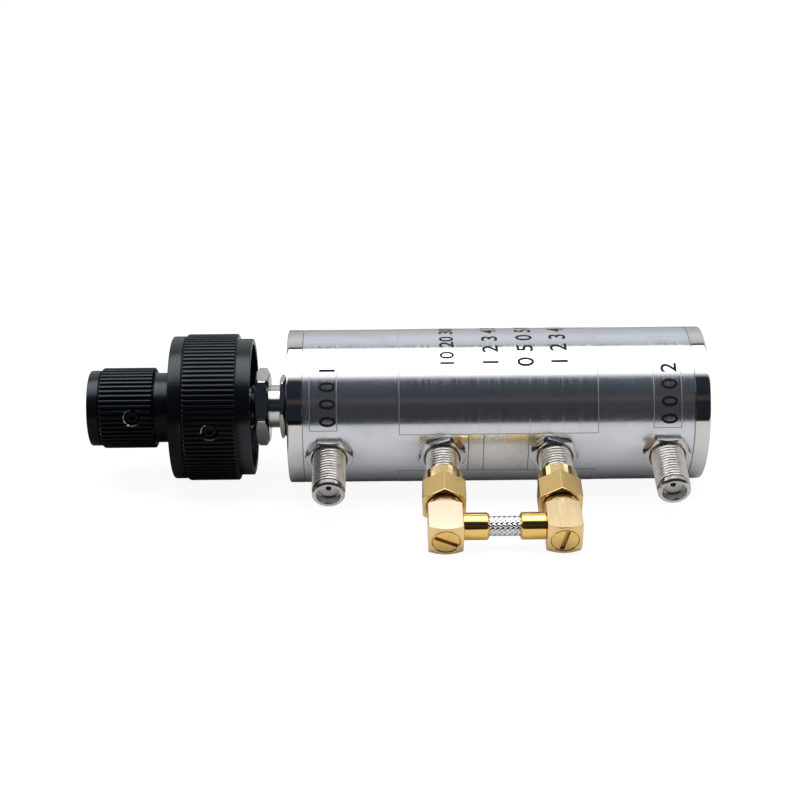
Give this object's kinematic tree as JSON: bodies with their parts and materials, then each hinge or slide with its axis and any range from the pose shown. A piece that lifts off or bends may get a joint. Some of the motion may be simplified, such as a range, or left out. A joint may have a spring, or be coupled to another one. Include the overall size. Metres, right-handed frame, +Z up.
{
  "type": "rotary rf step attenuator",
  "caption": "Tubular rotary step attenuator with two concentric knurled knobs, a row of threaded coaxial jacks and a braided jumper between right-angle plugs.",
  "frame": {"origin": "bottom centre of the bounding box, on the surface that the part lies on", "axes": "+X along the shaft from the knobs to the rear cover, +Z up, jacks towards -Y and 18 degrees below level"},
  "size_m": [0.1196, 0.0527, 0.03],
  "materials": {
    "polished_nickel": "polished turned metal",
    "nickel_thread": "satin plated",
    "black_anodised": "black anodised",
    "black_oxide": "black oxide",
    "polished_gold": "gold plated, polished",
    "tinned_braid": "tinned wire braid",
    "white_dielectric": "waxy white fluoropolymer",
    "shaft_steel": "ground",
    "drum_plastic": "moulded",
    "detent_brass": "machined"
  },
  "bodies": {
    "housing": {"front_cover": "polished_nickel", "front_shell": "polished_nickel", "end_plate": "polished_nickel", "rear_shell": "polished_nickel", "rear_cover": "polished_nickel", "front_cover_screw_1": "shaft_steel", "front_cover_screw_2": "shaft_steel", "front_cover_screw_3": "shaft_steel", "rear_cover_screw_1": "shaft_steel", "rear_cover_screw_2": "shaft_steel", "rear_cover_screw_3": "shaft_steel", "bushing": "nickel_thread", "lock_washer": "black_oxide", "jam_nut": "polished_nickel", "panel_nut": "polished_nickel", "middle_block": "polished_nickel", "front_detent_spring": "shaft_steel", "front_detent_plug": "shaft_steel", "rear_detent_spring": "shaft_steel", "rear_detent_plug": "shaft_steel", "jack_1_shell": "nickel_thread", "jack_1_dielectric": "white_dielectric", "jack_1_contact": "polished_gold", "jack_1_nut": "polished_nickel", "jack_2_shell": "nickel_thread", "jack_2_dielectric": "white_dielectric", "jack_2_contact": "polished_gold", "jack_2_nut": "polished_nickel", "jack_3_shell": "nickel_thread", "jack_3_dielectric": "white_dielectric", "jack_3_contact": "polished_gold", "jack_3_nut": "polished_nickel", "jack_4_shell": "nickel_thread", "jack_4_dielectric": "white_dielectric", "jack_4_contact": "polished_gold", "jack_4_nut": "polished_nickel", "left_elbow": "polished_gold", "left_end_plug": "polished_gold", "left_plug_pin": "polished_gold", "left_ferrule": "polished_gold", "right_elbow": "polished_gold", "right_end_plug": "polished_gold", "right_plug_pin": "polished_gold", "right_ferrule": "polished_gold", "jumper_cable": "tinned_braid"},
    "outer_drive": {"big_knob": "black_anodised", "big_knob_screw": "black_oxide", "outer_shaft": "shaft_steel", "front_drum": "drum_plastic", "front_detent_wheel": "detent_brass"},
    "inner_drive": {"small_knob": "black_anodised", "small_knob_screw": "black_oxide", "inner_shaft": "shaft_steel", "rear_drum": "drum_plastic", "rear_detent_wheel": "detent_brass"},
    "left_nut": {"left_coupling_nut": "polished_gold"},
    "right_nut": {"right_coupling_nut": "polished_gold"},
    "front_ball": {"front_detent_ball": "shaft_steel"},
    "rear_ball": {"rear_detent_ball": "shaft_steel"}
  },
  "joints": [
    {"name": "big_knob_turn", "type": "hinge", "parent": "housing", "child": "outer_drive", "pos_m": [-0.0207, 0.01138, 0.015], "axis": [1, 0, 0], "range_deg": [0, 300]},
    {"name": "small_knob_turn", "type": "hinge", "parent": "housing", "child": "inner_drive", "pos_m": [-0.0207, 0.01138, 0.015], "axis": [1, 0, 0], "range_deg": [0, 300]},
    {"name": "left_nut_turn", "type": "hinge", "parent": "housing", "child": "left_nut", "pos_m": [0.0088, -0.01192, 0.00742], "axis": [0, -0.9509, -0.3094], "continuous": true},
    {"name": "right_nut_turn", "type": "hinge", "parent": "housing", "child": "right_nut", "pos_m": [0.0303, -0.01192, 0.00742], "axis": [0, -0.9509, -0.3094], "continuous": true},
    {"name": "front_ball_travel", "type": "slide", "parent": "housing", "child": "front_ball", "axis": [0, 0.9509, 0.3094], "range_m": [-0.0005, 0]},
    {"name": "rear_ball_travel", "type": "slide", "parent": "housing", "child": "rear_ball", "axis": [0, 0.9509, 0.3094], "range_m": [-0.0005, 0]}
  ]
}
